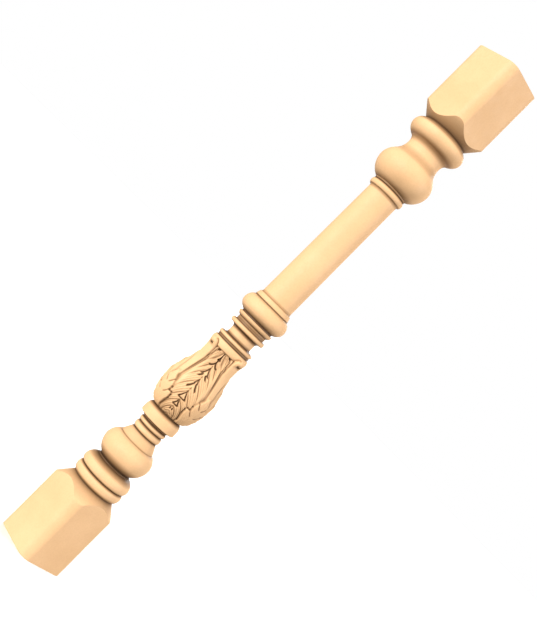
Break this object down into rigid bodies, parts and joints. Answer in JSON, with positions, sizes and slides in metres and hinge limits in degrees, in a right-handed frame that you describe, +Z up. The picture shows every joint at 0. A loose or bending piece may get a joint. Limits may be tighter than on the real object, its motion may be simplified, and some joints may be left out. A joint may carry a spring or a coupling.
{
  "type": "stone baluster",
  "caption": "Slender carved stone baluster with square foot and head blocks, turned mouldings, a plain upper shaft and a bulb carved with acanthus leaves.",
  "frame": {"origin": "middle of the underside of the foot block", "axes": "+Z up the baluster's axis from the foot block to the head block, +X and +Y square to the flat faces of the blocks"},
  "size_m": [0.0879, 0.088, 0.9],
  "materials": {
    "carved_stone": "honed warm buff stone, matt, slightly darker in the carved hollows"
  },
  "bodies": {
    "root": {"baluster": "carved_stone"}
  },
  "joints": []
}
